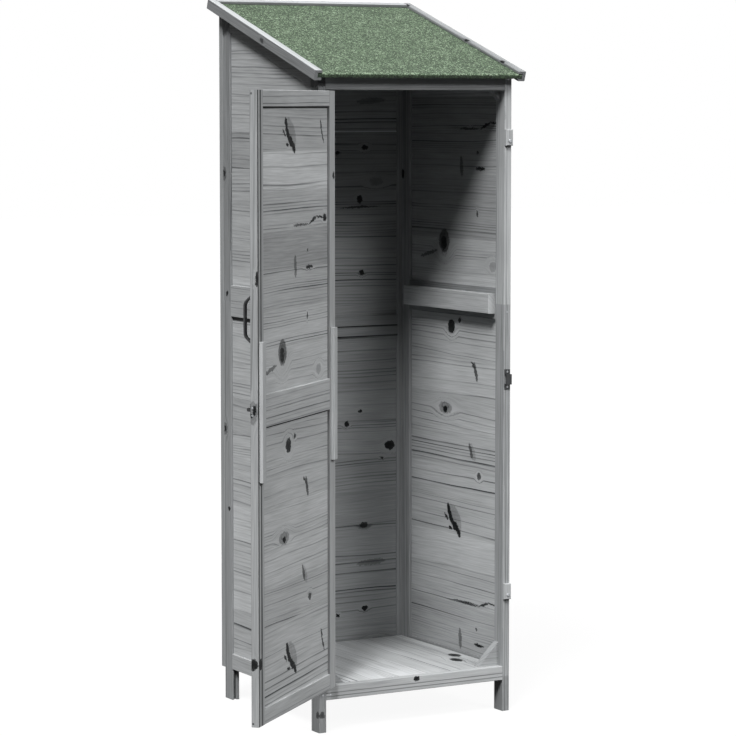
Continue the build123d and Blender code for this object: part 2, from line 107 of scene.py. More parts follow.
# %% [markdown]
# ## Floor and background
# The shed stands alone on white. A wide pale floor would do, but its far edge would show as a grey line, so
# the floor and the world both look white to the camera and to reflections, and the floor keeps a share of
# its real shading, which is the shed's soft shadow. For the light that bounces back to the shed, the floor
# is a dark grey, so that the shed's underside and inside stay deep.


# %% Floor
def in_view(tree):
    """1 for what is seen straight, in a reflection or through glass, and 0 for light that bounces."""
    path = add(tree, "LightPath")
    seen = add(tree, "Math", [path["Is Camera Ray"], path["Is Glossy Ray"]], operation="MAXIMUM")[0]
    return add(tree, "Math", [seen, path["Is Transmission Ray"]], operation="MAXIMUM")[0]


floor_size = 60
shadow_share = 0.07
bounce_grey = paint("383838")
seen_grey = paint("F4F4F4")
white = paint("FFFFFF")
bpy.ops.object.select_all(action="DESELECT")
bpy.ops.mesh.primitive_plane_add(size=floor_size)
studio_floor = bpy.context.object
studio_floor.name = "studio_floor"
studio_white, tree = blank_material("matt_white_studio_floor")
seen = in_view(tree)
whiteness = add(tree, "Math", [seen, 1 - shadow_share], operation="MULTIPLY")[0]
card = add(tree, "Mix", {0: seen, 6: bounce_grey, 7: seen_grey}, data_type="RGBA")[2]
matt = add(tree, "BsdfDiffuse", {"Color": card})[0]
glow = add(tree, "Emission", {"Color": white, "Strength": 1.0})[0]
surface = add(tree, "MixShader", [whiteness, matt, glow])[0]
add(tree, "OutputMaterial", {"Surface": surface})
studio_floor.data.materials.append(studio_white)
print("floor", floor_size, "m wide, with", shadow_share, "of its own shading")

# %% World
ambient = 0.045
world = bpy.data.worlds.new("studio")
world.use_nodes = True
world.node_tree.nodes.clear()
tree = world.node_tree
strength = add(tree, "MapRange", [in_view(tree), 0.0, 1.0, ambient, 1.0])[0]
sky = add(tree, "Background", {"Color": white, "Strength": strength})[0]
add(tree, "OutputWorld", {"Surface": sky})
bpy.context.scene.world = world
print("ambient light", ambient)

# %% [markdown]
# ## Light
# The light is six lamps. A sun from the left front draws the roof's shadow across the inside wall, and a
# second one nearly ahead reaches the back wall. Soft fills from both sides light the left wall and the open
# door, a broad one overhead the roof, and a low one behind, which the picture never sees, shows the back
# wall to anyone who walks round. Area lamps would do as well, but a sun's strength is the same all over the
# shed, so each lamp can be set on its own.

# %% Lamps
lamp_distance = 4


def lamp(name, azimuth, elevation, strength, spread):
    """A sun seen at an azimuth, from 0 in front to 90 on the right, with its disc's width in degrees."""
    data = bpy.data.lights.new(name, "SUN")
    data.energy = strength
    data.angle = radians(spread)
    light = bpy.data.objects.new(name, data)
    level = cos(radians(elevation))
    to_right = sin(radians(azimuth)) * level
    to_back = -cos(radians(azimuth)) * level
    towards = Vector((to_right, to_back, sin(radians(elevation))))
    light.rotation_euler = towards.to_track_quat("Z", "Y").to_euler()
    light.location = towards * lamp_distance
    bpy.context.collection.objects.link(light)
    print(name, "from", azimuth, "degrees, up", elevation)


lamp("key_left", -47, 49.5, 3.7, 16)
lamp("fill_left", -72, 60, 0.85, 12)
lamp("fill_right", 68, 34, 0.8, 25)
lamp("fill_front", 15, 36, 1.45, 17)
lamp("overhead", 0, 85, 0.25, 35)
lamp("rear_fill", 168, 12, 1.1, 25)

# %% [markdown]
# ## Grey-stained fir
# Every timber is planed fir with a thin grey stain that lets the grain show: darker late-wood lines along
# the board, which part round each knot like water round a stone, fine fibre between them, and near-black
# knots. An image of a board would be quick, but it would repeat and stop at the edges. Here the lines are
# contours of a field that grows across the board, so any drift in the field bends the lines, and each knot
# pushes the field aside. The next four steps build that wood up, and a fifth puts it together.
#
# The pattern reads Object coordinates, turned by a Mapping node into the timber's own millimetres: along the
# grain, across it and through it. The shed, its door and its roof each have such a frame of their own.

# %% Where the timbers lie
board_width = 91.0
door_opening = 139.5
roof_slope = 18.2
millimetre = (0.001, 0.001, 0.001)
shed_frame = ((0, 0, 0), (0, 0, 0), millimetre)
door_frame = ((0.0115, -0.023, 0), (0, 0, radians(-door_opening)), millimetre)
roof_frame = ((0.265, -0.020, 1.603), (radians(roof_slope), 0, 0), millimetre)
print("door open by", door_opening, "degrees, roof sloping by", roof_slope)

# %% [markdown]
# ## Boards from a plank
# The boards of a wall lie in a course, and each was cut from another stretch of timber. A material for every
# board would be exact, but there are dozens of them. Here a board's height in its course gives its number,
# and white noise turns the number into three values of chance, which say where on a long plank the board
# was cut, how its grain leans and how wide its rings are. So no two boards look alike.

# %% Cutting boards from a plank
# Boards are cut anywhere along this length of plank, in mm
plank_length = 40000
# Length and width of the slow sway in the grain, in mm
sway_length, sway_width = 420, 160
# Steepest slope of the grain against the board's edge
steepest_lean = 0.02
# Two row numbers mean the same board if they differ by less than this
half_row = 0.5


def own_chance(tree, across, course, seed):
    """The row of each board above the start of its course, its number, and three random values of its own."""
    row = number = float(seed)
    if course is not None:
        above = add(tree, "Math", [across, course], operation="SUBTRACT")[0]
        row = add(tree, "Math", [above, board_width], operation="DIVIDE")[0]
        row = add(tree, "Math", [row], operation="FLOOR")[0]
        number = add(tree, "Math", [row, seed], operation="ADD")[0]
    dice = add(tree, "TexWhiteNoise", {"W": number}, noise_dimensions="1D")["Color"]
    return row, number, add(tree, "SeparateColor", [dice])


def stretched(length, width):
    """Scale of a pattern that is so many mm long and wide."""
    return (1 / length, 1 / width, 1 / width)


def cut_from_plank(tree, along, across, through, chance, sway):
    """A board's place along its plank, its point on it, and the field that grows across its grain."""
    shift = add(tree, "Math", [chance[0], plank_length, along], operation="MULTIPLY_ADD")[0]
    flat = add(tree, "CombineXYZ", [shift, across, through])[0]
    slow = add(tree, "VectorMath", [flat, stretched(sway_length, sway_width)], operation="MULTIPLY")[0]
    drift = add(tree, "TexNoise", {"Vector": slow, "Scale": 1.0, "Detail": 2.0, "Roughness": 0.35})[0]
    level = add(tree, "Math", [drift, sway, across], operation="MULTIPLY_ADD")[0]
    lean = add(tree, "MapRange", [chance[1], 0.0, 1.0, -steepest_lean, steepest_lean])[0]
    level = add(tree, "Math", [lean, along, level], operation="MULTIPLY_ADD")[0]
    return shift, flat, level


print("boards", board_width, "mm wide, from a plank of", plank_length / 1000, "m")

# %% [markdown]
# ## Knots
# A knot is the root of a branch. Sawn across, it is a dark oval with rings and a ragged rim, and the grain
# parts round it. Sawn lengthwise, it is a dark spike that lies across the board. Knots could be strewn at
# random, but they are what the eye remembers, so each is listed: its middle, half its length along the grain
# and half its width across, its tilt, and how dark it is. A tilted one is taken for a spike, or for a patch
# that is no knot, such as painted shadow under the eaves, and leaves the grain straight.

# %% Knots
# The near-black of the knots, towards which painted shade also goes
knot_and_shade_colour = "131415"
# How dark the rings of a knot are, from its middle to its rim
knot_rings = [(0.06, 1.0), (0.2, 0.88), (0.34, 1.0), (0.5, 0.8), (0.7, 0.85), (0.86, 1.0)]
# Size of the teeth in a ragged rim and the span over which the rim strays, in mm
rim_teeth, rim_stray = 9, 18
# Where the colour and the push on the grain fade out, in squares of the knot's half size
colour_edge = (0.75, 1.25)
push_edge = (0.6, 7.0)
push = 0.9
# The span of the noise in a knot, and how much paler and darker its cracks are
crack_span = (0.3, 0.6)
crack_depths = (0.85, 1.1)
smooth = {"interpolation_type": "SMOOTHSTEP"}


def grow_knots(tree, knots, course, row, along, across, flat, level):
    """How dark the knots make each place, and the field of the grain, pushed aside by the round ones."""
    if not knots:
        return None, level
    ragged = add(tree, "TexNoise", {"Vector": flat, "Scale": 1 / rim_teeth, "Detail": 4.0, "Roughness": 0.75})
    wander = add(tree, "VectorMath", [ragged["Color"], (0.5, 0.5, 0.5)], operation="SUBTRACT")[0]
    spread = add(tree, "CombineXYZ", [along, across, 0.0])[0]
    stray = (rim_stray, rim_stray, 0.0)
    spread = add(tree, "VectorMath", [wander, stray, spread], operation="MULTIPLY_ADD")[0]
    shade = nearest = None
    for knot_along, knot_across, half_length, half_width, tilt, depth in knots:
        middle = (knot_along, knot_across, 0)
        turned = (0, 0, radians(tilt))
        half_size = (half_length, half_width, 1)
        spot = add(tree, "Mapping", [spread, middle, turned, half_size], vector_type="TEXTURE")[0]
        reach = add(tree, "VectorMath", [spot, spot], operation="DOT_PRODUCT")["Value"]
        spot = add(tree, "MapRange", [reach, *colour_edge, depth, 0.0], **smooth)[0]
        shade = add(tree, "Math", [shade, spot], operation="MAXIMUM")[0] if shade else spot
        nearest = add(tree, "Math", [nearest, reach], operation="MINIMUM")[0] if nearest else reach
        if tilt:
            continue
        fade = add(tree, "MapRange", [reach, *push_edge, push, 0.0], **smooth)[0]
        if course is not None:
            knot_row = floor((knot_across - course) / board_width)
            own_board = add(tree, "Math", [row, knot_row, half_row], operation="COMPARE")[0]
            fade = add(tree, "Math", [fade, own_board], operation="MULTIPLY")[0]
        offset = add(tree, "Math", [knot_across, across], operation="SUBTRACT")[0]
        level = add(tree, "Math", [offset, fade, level], operation="MULTIPLY_ADD")[0]

    rings = add(tree, "ValToRGB", [nearest])["Color"]
    stops = rings.node.color_ramp.elements
    stops[0].color = stops[1].color = (1, 1, 1, 1)
    for position, depth in knot_rings:
        stops.new(position).color = (depth, depth, depth, 1)
    shade = add(tree, "Math", [shade, rings], operation="MULTIPLY")[0]
    crack = add(tree, "MapRange", [ragged[0], *crack_span, *crack_depths])[0]
    return add(tree, "Math", [shade, crack], operation="MULTIPLY", use_clamp=True)[0], level


print("rings in a knot:", len(knot_rings))

# %% [markdown]
# ## Year rings
# Each year of the tree is a pale band that darkens slowly to its late wood and then ends sharply, and dry
# years make faint lines and crowded ones. A wave texture draws even stripes, so the rings are counted
# instead: the field of the grain, stretched here and there by noise, is cut into whole years, and every
# year draws its own strength from white noise.

# %% Year rings
# How fast the years follow each other on the widest-ringed and the closest-ringed board
year_paces = (0.75, 1.4)
# Years crowd and spread out again over this many mm, by this many years
crowding_width, crowding = 45, 3.0
# The share of a year over which its late wood darkens
late_wood = (0.45, 0.95)
# Strength of the lines from weak to strong patches, and the span of the noise that these cover
patch_vigour = (0.4, 1.0)
patch_span = (0.35, 0.68)
# Strength of the lines from faint to bold boards
board_boldness = (0.6, 1.7)


def year_rings(tree, level, number, chance, cloud, spacing):
    """How dark the late wood makes each place, with rings that are so many mm apart."""
    slow, fast = year_paces
    pace = add(tree, "MapRange", [chance[2], 0.0, 1.0, slow / spacing, fast / spacing])[0]
    crowd = add(tree, "Math", [level, 1 / crowding_width], operation="MULTIPLY")[0]
    crowd = add(tree, "CombineXYZ", [crowd, number, 0.0])[0]
    crowd = add(tree, "TexNoise", {"Vector": crowd, "Scale": 1.0})[0]
    crowd = add(tree, "Math", [crowd, crowding], operation="MULTIPLY")[0]
    year = add(tree, "Math", [level, pace, crowd], operation="MULTIPLY_ADD")[0]
    age = add(tree, "Math", [year], operation="FRACT")[0]
    late = add(tree, "MapRange", [age, *late_wood, 0.0, 1.0], **smooth)[0]
    ring = add(tree, "Math", [year], operation="FLOOR")[0]
    ring = add(tree, "Math", [ring, number], operation="ADD")[0]
    ring = add(tree, "TexWhiteNoise", {"W": ring}, noise_dimensions="1D")["Value"]
    # Squared, because most rings are faint
    ring = add(tree, "Math", [ring, 2.0], operation="POWER")[0]
    vigour = add(tree, "MapRange", [cloud, *patch_span, *patch_vigour])[0]
    boldness = add(tree, "MapRange", [chance[0], 0.0, 1.0, *board_boldness])[0]
    vigour = add(tree, "Math", [vigour, boldness], operation="MULTIPLY")[0]
    lines = add(tree, "Math", [late, ring], operation="MULTIPLY")[0]
    return add(tree, "Math", [lines, vigour], operation="MULTIPLY", use_clamp=True)[0]


print("late wood takes", round(late_wood[1] - late_wood[0], 2), "of a year")

# %% [markdown]
# ## Stain
# The stain is a thin grey wash, paler or darker from board to board and cloudy. On a few bars the faces that
# look up are made paler, a painted highlight of the light from above. A knot takes up more of the stain. Dark
# things could be mixed in with a plain factor, but to the eye half the light is only a little darker, so what
# stays bare is squared. Straight lines along the grain are streaks: dark joints and grooves, painted shadow
# under rails, and a painted highlight on a board's edge.

# %% Stain
# How much of a streak's half width is its full colour
streak_core = 0.3
# How far a face looks up before it gets the painted highlight of the light from above, and where it gets all
# of it
top_highlight_facing = (0.6, 0.9)


def darken(tree, stain, shade):
    """Takes a stain towards the dark of knots and painted shade, by up to 1. A negative shade makes it paler.
    """
    bare = add(tree, "Math", [1.0, shade], operation="SUBTRACT")[0]
    bare = add(tree, "Math", [bare, bare], operation="MULTIPLY")[0]
    wash = {0: bare, 6: paint(knot_and_shade_colour), 7: stain}
    return add(tree, "Mix", wash, data_type="RGBA", clamp_factor=False)[2]


def draw_streaks(tree, stain, streaks, across):
    """Draws lines along the grain, each with its middle and half width in mm and its shade."""
    for middle, half_width, depth in streaks:
        offset = add(tree, "Math", [across, middle], operation="SUBTRACT")[0]
        offset = add(tree, "Math", [offset], operation="ABSOLUTE")[0]
        core = streak_core * half_width
        shade = add(tree, "MapRange", [offset, core, half_width, depth, 0.0], **smooth)[0]
        stain = darken(tree, stain, shade)
    return stain


def with_top_highlight(tree, tone, top_highlight_share):
    """The tone, made paler on the faces that look up: a painted highlight of the light from above."""
    facing = add(tree, "TexCoord")["Normal"]
    upward = add(tree, "SeparateXYZ", [facing])[2]
    top_highlight_lift = add(tree, "MapRange", [upward, *top_highlight_facing, 1.0, 1.0 + top_highlight_share])[0]
    return add(tree, "Math", [tone, top_highlight_lift], operation="MULTIPLY")[0]


print("half a shade leaves", 0.5 ** 2, "of the stain bare")

# %% [markdown]
# ## The fir itself
# Now the steps go together: cut the board, grow its knots, draw its years and wash it with stain. The fibre
# runs along the bent lines and gives each face its fine streaks. The relief has a noise of its own, because
# one chain of nodes for both would be longer than the renderer can hold.

# %% Clouds, fibre and sheen
# Length and width of the cloudy patches in the stain, in mm
cloud_length, cloud_width = 330, 70
# Real fibre is a few tenths of a millimetre wide: it is drawn at 2 mm so that it shows
fibre_length, fibre_width = 90, 2
# Step in the fibre's noise from one board to the next
fibre_step = 3.1
# The spans that the noises mostly keep to
cloud_span = (0.3, 0.7)
fibre_span = (0.2, 0.8)
# Tones of dark and pale boards, of weak and strong patches, and of pale and dark fibres
board_tones = (0.92, 1.08)
cloud_tones = (1.08, 0.92)
fibre_tones = (1.2, 0.8)
# Planed fir is matt, and its open grain breaks up most of the shine
fir_roughness = (0.58, 0.78)
fir_shine = 0.1
# Height of the planed ridges, in metres
ridge_height = 0.0006
print("fibre drawn", fibre_width, "mm wide, clouds", cloud_width, "mm")


# %% The fir itself
def stained_fir(
    name,
    place,
    grain,
    knots=(),
    course=None,
    light="AEB0B1",
    line="393C3E",
    spacing=9.0,
    sway=22.0,
    seed=1,
    tones=(),
    top_highlight_share=0.0,
    streaks=(),
):
    """Grey-stained fir. Grain names its axes along, across and through. Knots and streaks are in mm."""
    material, tree = blank_material(name)
    here = add(tree, "TexCoord")["Object"]
    local = add(tree, "Mapping", [here, *place], vector_type="TEXTURE")[0]
    axes = add(tree, "SeparateXYZ", [local])
    along, face, through = [axes["XYZ".index(letter)] for letter in grain]
    across = face
    if course is None:
        # The lines of a bar slope through its thickness, so that they show on every face
        across = add(tree, "Math", [face, through], operation="ADD")[0]
    row, number, chance = own_chance(tree, across, course, seed)
    shift, flat, level = cut_from_plank(tree, along, across, through, chance, sway)
    knot_shade, level = grow_knots(tree, knots, course, row, along, across, flat, level)

    # Clouds in the stain, the lines of the years, and the fibre along them
    cloud_scale = stretched(cloud_length, cloud_width)
    cloud_place = add(tree, "VectorMath", [flat, cloud_scale], operation="MULTIPLY")[0]
    cloud = add(tree, "TexNoise", {"Vector": cloud_place, "Scale": 1.0, "Detail": 2.0})[0]
    lines = year_rings(tree, level, number, chance, cloud, spacing)
    strip = add(tree, "CombineXYZ", [level, shift, number])[0]
    fibre_scale = (1 / fibre_width, 1 / fibre_length, fibre_step)
    fibre_place = add(tree, "VectorMath", [strip, fibre_scale], operation="MULTIPLY")[0]
    fibre = add(tree, "TexNoise", {"Vector": fibre_place, "Scale": 1.0, "Detail": 2.0})[0]

    # How pale the wood is: board by board, with painted light and shade on some rows, then cloud by cloud and
    # fibre by fibre
    tone = add(tree, "MapRange", [chance[1], 0.0, 1.0, *board_tones])[0]
    for board_row, change in tones:
        this_board = add(tree, "Math", [row, board_row, half_row], operation="COMPARE")[0]
        tone = add(tree, "Math", [this_board, change, tone], operation="MULTIPLY_ADD")[0]
    cloud_tone = add(tree, "MapRange", [cloud, *cloud_span, *cloud_tones])[0]
    tone = add(tree, "Math", [tone, cloud_tone], operation="MULTIPLY")[0]
    fibre_tone = add(tree, "MapRange", [fibre, *fibre_span, *fibre_tones])[0]
    tone = add(tree, "Math", [tone, fibre_tone], operation="MULTIPLY")[0]
    if top_highlight_share:
        tone = with_top_highlight(tree, tone, top_highlight_share)

    # The colour: early and late wood, then the knots, which take up more stain, and the streaks, among them
    # painted shadow and painted highlight
    stain = add(tree, "Mix", {0: lines, 6: paint(light), 7: paint(line)}, data_type="RGBA")[2]
    stain = add(tree, "VectorMath", {0: stain, "Scale": tone}, operation="SCALE")[0]
    if knots:
        stain = darken(tree, stain, knot_shade)
    stain = draw_streaks(tree, stain, streaks, face)

    # The planed surface
    rough = add(tree, "MapRange", [fibre, *fibre_span, *fir_roughness])[0]
    ridge_scale = stretched(fibre_length, fibre_width)
    ridge_place = add(tree, "VectorMath", [flat, ridge_scale], operation="MULTIPLY")[0]
    ridges = add(tree, "TexNoise", {"Vector": ridge_place, "Scale": 1.0, "Detail": 2.0})[0]
    relief = add(tree, "Bump", {"Strength": 0.35, "Distance": ridge_height, "Height": ridges})[0]
    finish = {"Base Color": stain, "Roughness": rough, "Specular IOR Level": fir_shine, "Normal": relief}
    wood = add(tree, "BsdfPrincipled", finish)[0]
    add(tree, "OutputMaterial", {"Surface": wood})
    return material


# %% Dressing the pieces
def dress(material, *names):
    """Gives the frame's pieces this finish."""
    for name in names:
        nodes[name].data.materials.clear()
        nodes[name].data.materials.append(material)
    print(material.name, "on", len(names), "pieces")


# %% [markdown]
# ## Wall and door boards
# The door and the right wall were sawn from boards with alike knots, so one list serves both with a shift,
# and it comes round again higher up. The back and left walls have lists of their own. Beside the knots, a
# wall is told by which of its boards are pale and which dark, so those are listed too, by their row, and some
# rows are made paler or darker as painted light and shade.

# %% Knots of the door and the right wall
# Along, across, half length, half width (mm), tilt (degrees), depth of colour
plank_knots = [
    (309, 1486, 17, 8, 75, 0.97),
    (298, 1464, 19, 9, 55, 0.95),
    (280, 1447, 17, 10, 40, 0.97),
    (262, 1434, 16, 8, 57, 0.95),
    (322, 1467, 12, 4, 40, 0.8),
    (303, 1440, 9, 4, 10, 0.9),
    (280, 1466, 40, 24, 50, 0.22),
    (82, 1486, 11, 4, 70, 0.75),
    (74, 1462, 25, 3.5, 62, 0.65),
    (57, 1263, 11, 9, 0, 0.97),
    (88, 1266, 28, 3, 4, 0.75),
    (138, 1260, 25, 3.5, -19, 0.8),
    (213, 1252, 50, 3, 0, 0.6),
    (173, 1192, 6, 4, 0, 0.6),
    (252, 1156, 26, 8, 85, 0.4),
    (160, 1151, 24, 4, 0, 0.9),
    (176, 1037, 4, 8, 0, 0.6),
    (336, 962, 25, 30, 0, 0.55),
    (338, 956, 15, 19, 0, 0.9),
    (413, 927, 42, 5, -13, 0.45),
    (100, 905, 16, 13, 0, 0.2),
    (300, 742, 17, 17, 0, 0.9),
    (260, 760, 7, 6, 0, 0.7),
    (180, 632, 25, 7, 72, 0.6),
    (192, 648, 14, 4, 40, 0.7),
    (329, 528, 32, 15, 0, 0.3),
    (329, 524, 11, 8, 0, 0.97),
    (203, 428, 21, 7, 68, 0.55),
    (195, 424, 24, 12, 60, 0.15),
    (163, 366, 10, 9, 0, 0.65),
]
# The knots come round again after this height, in mm
knot_repeat = 1223
# From the door's knots to the right wall's, along and across
right_shift = (-55, 219)


def shifted(knots, along, across, low, high):
    """The knots moved along and across, with their repeats, as far as they lie between low and high."""
    moved = []
    for turn in (-1, 0, 1):
        for knot in knots:
            middle = knot[1] + across + turn * knot_repeat
            if low < middle < high:
                moved.append((knot[0] + along, middle, *knot[2:]))
    return moved


print("knots on the door's planks:", len(plank_knots))

# %% Knots of the back and left walls and the floor
back_knots = [
    (411, 197, 9, 7, 0, 0.95),
    (329, 183, 5, 5, 0, 0.95),
    (430, 319, 42, 8, 3, 0.3),
    (408, 420, 12, 8, 0, 0.75),
    (463, 597, 5, 4, 0, 0.8),
    (488, 629, 14, 12, 0, 0.97),
    (356, 692, 7, 7, 0, 0.95),
    (397, 724, 6, 5, 0, 0.9),
    (402, 1092, 7, 7, 0, 0.97),
    (396, 1285, 9, 10, 0, 0.97),
    (396, 1264, 60, 2.5, 2, 0.6),
    (446, 1330, 20, 10, 0, 0.2),
    (150, 305, 13, 10, 0, 0.85),
    (205, 540, 9, 22, 0, 0.75),
    (120, 770, 16, 14, 0, 0.85),
    (95, 1140, 11, 9, 0, 0.8),
]
left_knots = [
    (240, 1395, 13, 10, 0, 0.9),
    (120, 1290, 9, 20, 0, 0.75),
    (70, 1150, 12, 9, 0, 0.85),
    (285, 1105, 24, 5, 8, 0.8),
    (190, 905, 14, 12, 0, 0.9),
    (60, 770, 10, 8, 0, 0.8),
    (265, 640, 11, 18, 0, 0.8),
    (130, 455, 15, 11, 0, 0.9),
    (235, 300, 9, 8, 0, 0.8),
    (80, 215, 12, 10, 0, 0.85),
]
floor_knots = [(170, 494, 22, 14, 0, 0.8), (112, 464, 22, 14, 0, 0.85), (330, 120, 16, 12, 0, 0.8)]
print("knots on the back, left and floor:", len(back_knots), len(left_knots), len(floor_knots))

# %% Pale and dark boards
# A board's row, counted from the start of its course, and how much paler or darker it is. The right wall's
# rows are darker partly as painted shade, the back wall's upper rows are paler as painted light, and the
# floor's rows are paler on the left and a little darker in the middle as painted light and shade
right_rows_shade_and_tone = {
    "lower": [(0, -0.1), (-1, -0.25), (-2, -0.25)],
    "upper": [(0, -0.3), (-1, -0.32), (-2, -0.3), (-3, -0.26), (-4, -0.1)],
}
left_tones = {
    "lower": [(0, 0.14), (1, 0.15), (2, 0.18), (3, 0.1), (5, -0.06)],
    "upper": [(0, -0.04), (-1, -0.2), (-2, -0.12), (-3, -0.08), (-4, -0.04), (-5, 0.1)],
}
back_painted_light = {"lower": [], "upper": [(2, 0.15), (1, 0.15), (0, 0.15)]}
door_tones = [(1, 0.26), (-1, -0.34), (-2, -0.13), (-8, 0.06), (-9, 0.06)]
floor_painted_light = [(-3, 0.3), (-2, 0.3), (-1, 0.25), (0, -0.04), (1, -0.07)]
# Streaks: height and half width in mm, and shade
# Painted shadow: a dark strip on the left wall's boards under its middle rail
left_rail_painted_shadow = [(989, 8, 0.85)]
# Painted shadow: a dark line on the door's boards under each rail
door_rail_painted_shadows = {"lower": [(798.5, 2.5, 0.9)], "upper": [(1525.5, 2.5, 0.9)]}
# A painted highlight: a pale line along the edge of a board in the back wall
back_edge_painted_highlight = {"lower": [], "upper": [(1461.5, 2.0, -0.55)]}
print("boards with a tone of their own on the door:", len(door_tones))

# %% Boards of the side walls
fir_name = "grey_stained_fir_"
# Heights in mm: the seams between the halves, the roof's top, and a joint of boards to count the courses from
side_seam, back_seam, door_seam, roof_top = 1033, 950, 838, 1800
lower_course, upper_course, door_course = 239, 1462, 1243
side_halves = [("lower", 0, side_seam, lower_course), ("upper", side_seam, roof_top, upper_course)]
for half, low, high, course in side_halves:
    right_fir = stained_fir(
        fir_name + f"right_{half}",
        shed_frame,
        "YZX",
        shifted(plank_knots, *right_shift, low, high),
        course,
        light="B1B3B4",
        seed=3,
        tones=right_rows_shade_and_tone[half],
    )
    dress(right_fir, f"right_{half}_boards")
    left_fir = stained_fir(
        fir_name + f"left_{half}",
        shed_frame,
        "YZX",
        shifted(left_knots, 0, 0, low, high),
        course,
        seed=44,
        tones=left_tones[half],
        streaks=left_rail_painted_shadow,
    )
    dress(left_fir, f"left_{half}_boards")

# %% Boards of the back wall and the door
back_halves = [("lower", 0, back_seam, lower_course), ("upper", back_seam, roof_top, upper_course)]
for half, low, high, course in back_halves:
    back_fir = stained_fir(
        fir_name + f"back_{half}",
        shed_frame,
        "XZY",
        shifted(back_knots, 0, 0, low, high),
        course,
        light="929495",
        line="26292B",
        seed=77,
        tones=back_painted_light[half],
        streaks=back_edge_painted_highlight[half],
    )
    dress(back_fir, f"back_{half}_boards")

for half, low, high in [("lower", 0, door_seam), ("upper", door_seam, roof_top)]:
    door_fir = stained_fir(
        fir_name + f"door_{half}",
        door_frame,
        "XZY",
        shifted(plank_knots, 0, 0, low, high),
        door_course,
        seed=5,
        tones=door_tones,
        streaks=door_rail_painted_shadows[half],
    )
    dress(door_fir, f"door_{half}_boards")

# %% Boards of the floor and the roof
# Joints of boards to count from, in mm from the shed's left and up the roof's slope
floor_course, deck_course = 310.5, 69
floor_fir = stained_fir(
    fir_name + "floor",
    shed_frame,
    "YXZ",
    floor_knots,
    floor_course,
    seed=9,
    tones=floor_painted_light,
)
dress(floor_fir, "floor_boards")
deck_fir = stained_fir(fir_name + "roof_deck", roof_frame, "XYZ", (), deck_course, seed=13)
dress(deck_fir, "roof_deck")

# %% [markdown]
# ## Frame timber
# Posts, rails, stiles and barge boards are narrow bars sawn along the grain, so their lines run straight from
# end to end and closer together than on the boards. Each could have a finish of its own making, but the same
# fir serves, with its grain turned along each bar. A table says where each bar lies, its grain and its stain,
# some stains darker or paler as painted shade and light, and three more give the knots and painted shade, the
# painted highlights and the streaks of those bars that have them.

# %% Bars and their stains
post_stain = "8C8E8F"
rail_stain = "959798"
door_stain = "A8AAAB"
# The darker edge stain is the barge boards' colour, and painted shade on the front left post's top and the
# right wall's rails
edge_and_shade_stain = "808283"
batten_stain = "AEB0B1"
bars = {
    "front_left_foot": (shed_frame, "ZXY", post_stain, ["front_left_lower_post"]),
    # Its darker stain is painted shade under the roof's edge
    "front_left_top": (shed_frame, "ZXY", edge_and_shade_stain, ["front_left_upper_post"]),
    "front_right_foot": (shed_frame, "ZXY", rail_stain, ["front_right_lower_post"]),
    "front_right_top": (shed_frame, "ZXY", door_stain, ["front_right_upper_post"]),
    "back_left_foot": (shed_frame, "ZXY", post_stain, ["back_left_lower_post"]),
    "back_left_top": (shed_frame, "ZXY", post_stain, ["back_left_upper_post"]),
    "back_right_foot": (shed_frame, "ZXY", rail_stain, ["back_right_lower_post"]),
    "back_right_top": (shed_frame, "ZXY", rail_stain, ["back_right_upper_post"]),
    "back_stiles": (shed_frame, "ZXY", rail_stain, ["back_lower_stiles", "back_upper_stiles"]),
    "left_rails": (shed_frame, "YZX", door_stain, ["left_lower_rails", "left_upper_rails"]),
    "joiner_battens": (shed_frame, "YZX", batten_stain, ["left_joiner_batten", "right_joiner_batten"]),
    # The front bottom rail has the paler door stain and the front top rail the darker post stain, as painted
    # light and shade
    "front_bottom_rail": (shed_frame, "XZY", door_stain, ["front_bottom_rail"]),
    "rails": (shed_frame, "XZY", post_stain, ["front_top_rail", "back_lower_rails", "back_upper_rails"]),
    "gussets": (shed_frame, "XZY", rail_stain, ["bottom_gussets", "top_gussets"]),
    "bearers": (shed_frame, "XYZ", rail_stain, ["floor_bearers"]),
    "left_barge": (roof_frame, "YZX", edge_and_shade_stain, ["left_barge_board"]),
    "right_barge": (roof_frame, "YZX", edge_and_shade_stain, ["right_barge_board"]),
    "rear_strip": (roof_frame, "XZY", edge_and_shade_stain, ["rear_roof_strip"]),
    "door_stiles": (door_frame, "ZXY", door_stain, ["door_lower_stiles", "door_upper_stiles"]),
    "door_rails": (door_frame, "XZY", door_stain, ["door_lower_rails", "door_upper_rails"]),
    "door_battens": (door_frame, "ZXY", door_stain, ["door_joiner_battens"]),
    "turn_buttons": (shed_frame, "ZXY", door_stain, ["upper_turn_button", "lower_turn_button"]),
    # The darker stain of the right wall's rails is painted shade under the batten
    "right_rails": (shed_frame, "YZX", edge_and_shade_stain, ["right_lower_rails", "right_upper_rails"]),
}
print("kinds of bar:", len(bars))

